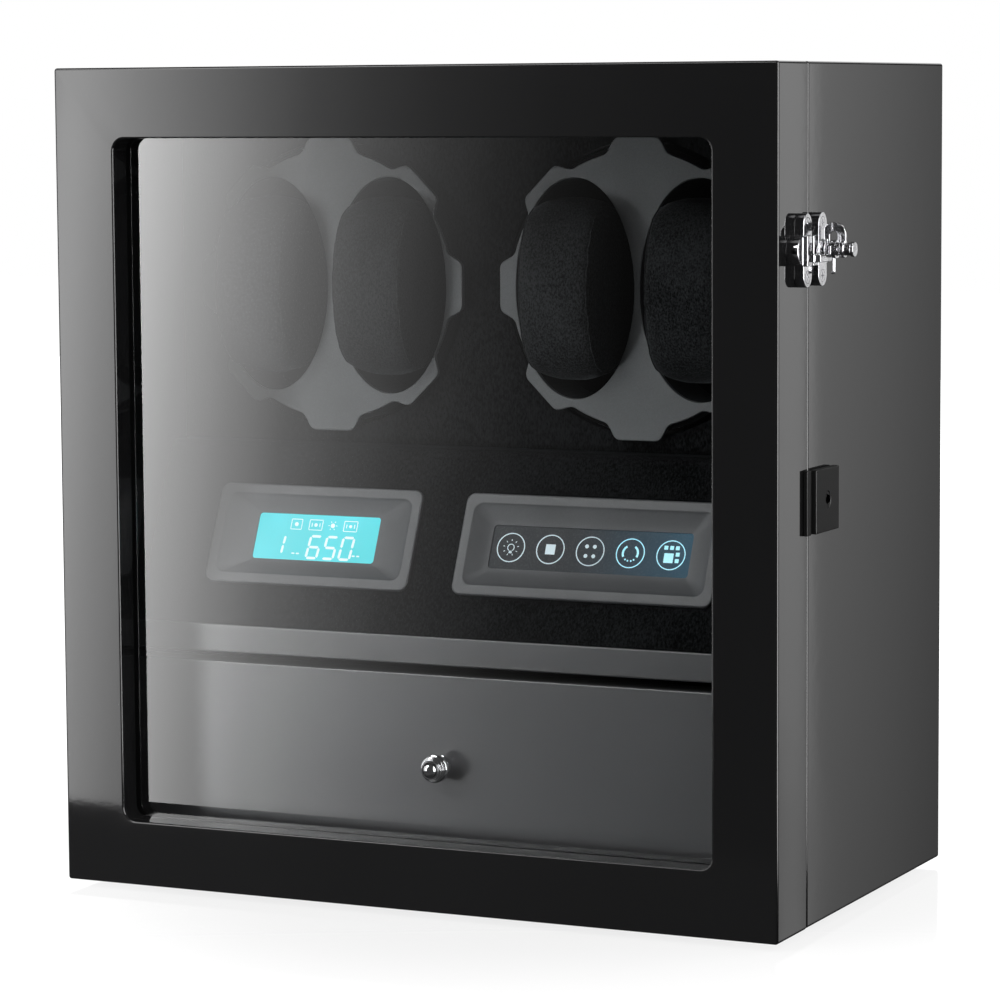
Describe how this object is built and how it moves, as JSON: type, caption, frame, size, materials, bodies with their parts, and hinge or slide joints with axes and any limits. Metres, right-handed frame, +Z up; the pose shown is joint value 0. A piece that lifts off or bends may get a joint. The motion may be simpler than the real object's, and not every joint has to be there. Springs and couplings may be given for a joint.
{
  "type": "watch winder box",
  "caption": "Lacquered watch winder cabinet with a glazed hinged door, turning watch holders, a sloping control console and a drawer.",
  "frame": {"origin": "bottom centre of the whole object, hinges and latch included, on the plane the feet stand on", "axes": "+Z up, the door faces -Y, +X towards the latch and lock side"},
  "size_m": [0.3554, 0.1994, 0.355],
  "materials": {
    "black_lacquer": "deep gloss lacquer",
    "drawer_board": "satin stain",
    "velvet": "short pile",
    "velvet_board": "board wrapped in short pile velvet",
    "cushion_suede": "micro suede over foam",
    "clear_glass": "clear",
    "grey_plastic": "satin",
    "bezel_plastic": "satin",
    "cup_plastic": "flocked",
    "lit_display": "backlit display",
    "key_glass": "gloss with lit key symbols",
    "circuit_board": "solder mask",
    "zinc_steel": "zinc plated",
    "pulley_plastic": "moulded",
    "bronze": "sintered",
    "belt_rubber": "matte",
    "foot_rubber": "matte",
    "jack_plastic": "matte",
    "lamp_plastic": "opal",
    "chrome_metal": "polished",
    "black_metal": "gloss black"
  },
  "bodies": {
    "cabinet": {"top_panel": "black_lacquer", "bottom_panel": "black_lacquer", "left_panel": "black_lacquer", "right_panel": "black_lacquer", "back_panel": "black_lacquer", "middle_shelf": "black_lacquer", "rotor_panel": "velvet_board", "console_panel": "velvet_board", "upper_lining": "velvet", "lcd_bezel": "bezel_plastic", "lcd_display": "lit_display", "key_bezel": "bezel_plastic", "key_panel": "key_glass", "control_board": "circuit_board", "motor_plate": "zinc_steel", "motor_left": "zinc_steel", "motor_right": "zinc_steel", "spindle_bushes": "bronze", "drive_belts": "belt_rubber", "dc_jack": "jack_plastic", "back_screws": "zinc_steel", "feet": "foot_rubber", "hinge_case_leaves": "chrome_metal", "hinge_pins": "chrome_metal", "hinge_case_screws": "chrome_metal", "latch_case_plate": "chrome_metal", "latch_case_screws": "chrome_metal", "latch_spring": "chrome_metal", "lock_plate": "black_metal", "lock_case": "zinc_steel", "led_strip": "lamp_plastic"},
    "door": {"door_frame": "black_lacquer", "door_glass": "clear_glass", "glass_bead": "black_lacquer", "hinge_door_leaves": "chrome_metal", "hinge_door_screws": "chrome_metal", "latch_door_plate": "chrome_metal", "latch_door_screws": "chrome_metal", "strike_plate": "black_metal"},
    "rotor_left": {"rotor_disc_left": "grey_plastic", "cup_housing_left": "cup_plastic", "spindle_left": "pulley_plastic"},
    "rotor_right": {"rotor_disc_right": "grey_plastic", "cup_housing_right": "cup_plastic", "spindle_right": "pulley_plastic"},
    "motor_shaft_left": {"motor_pulley_left": "pulley_plastic"},
    "motor_shaft_right": {"motor_pulley_right": "pulley_plastic"},
    "cushion_left_a": {"cushion_left_a": "cushion_suede"},
    "cushion_left_b": {"cushion_left_b": "cushion_suede"},
    "cushion_right_a": {"cushion_right_a": "cushion_suede"},
    "cushion_right_b": {"cushion_right_b": "cushion_suede"},
    "drawer": {"drawer_front": "black_lacquer", "drawer_box": "drawer_board", "drawer_bottom": "drawer_board", "drawer_lining": "velvet", "drawer_knob": "chrome_metal"},
    "latch": {"latch_hook": "chrome_metal"},
    "lock_plug": {"lock_cylinder": "black_metal"},
    "lock_slide": {"lock_bolt": "zinc_steel"}
  },
  "joints": [
    {"name": "door_hinge", "type": "hinge", "parent": "cabinet", "child": "door", "pos_m": [-0.1751, -0.06665, 0.179], "axis": [0, 0, -1], "range_deg": [0, 170]},
    {"name": "drawer_slide", "type": "slide", "parent": "cabinet", "child": "drawer", "axis": [0, -1, 0], "range_m": [0, 0.11]},
    {"name": "latch_turn", "type": "hinge", "parent": "cabinet", "child": "latch", "pos_m": [0.1688, -0.06145, 0.28], "axis": [1, 0, 0], "range_deg": [0, 90]},
    {"name": "lock_turn", "type": "hinge", "parent": "cabinet", "child": "lock_plug", "pos_m": [0.1538, -0.05235, 0.178], "axis": [1, 0, 0], "range_deg": [0, 90]},
    {"name": "lock_bolt_slide", "type": "slide", "parent": "cabinet", "child": "lock_slide", "axis": [0, -1, 0], "range_m": [0, 0.005]},
    {"name": "rotor_left_spin", "type": "hinge", "parent": "cabinet", "child": "rotor_left", "pos_m": [-0.0792, -0.02475, 0.2605], "axis": [0, 1, 0], "continuous": true},
    {"name": "motor_left_spin", "type": "hinge", "parent": "cabinet", "child": "motor_shaft_left", "pos_m": [-0.0792, 0.01225, 0.2005], "axis": [0, 1, 0], "continuous": true},
    {"name": "cushion_left_a_pull", "type": "slide", "parent": "rotor_left", "child": "cushion_left_a", "axis": [0, -1, 0], "range_m": [0, 0.03]},
    {"name": "cushion_left_b_pull", "type": "slide", "parent": "rotor_left", "child": "cushion_left_b", "axis": [0, -1, 0], "range_m": [0, 0.03]},
    {"name": "rotor_right_spin", "type": "hinge", "parent": "cabinet", "child": "rotor_right", "pos_m": [0.0668, -0.02475, 0.2605], "axis": [0, 1, 0], "continuous": true},
    {"name": "motor_right_spin", "type": "hinge", "parent": "cabinet", "child": "motor_shaft_right", "pos_m": [0.0668, 0.01225, 0.2005], "axis": [0, 1, 0], "continuous": true},
    {"name": "cushion_right_a_pull", "type": "slide", "parent": "rotor_right", "child": "cushion_right_a", "axis": [0, -1, 0], "range_m": [0, 0.03]},
    {"name": "cushion_right_b_pull", "type": "slide", "parent": "rotor_right", "child": "cushion_right_b", "axis": [0, -1, 0], "range_m": [0, 0.03]}
  ],
  "couplings": [
    {"joint": "drawer_slide", "follows": "door_hinge", "m_per_rad": 0.02},
    {"joint": "lock_turn", "follows": "lock_bolt_slide", "rad_per_m": 314.16},
    {"joint": "motor_left_spin", "follows": "rotor_left_spin", "ratio": 4},
    {"joint": "motor_right_spin", "follows": "rotor_right_spin", "ratio": 4}
  ]
}
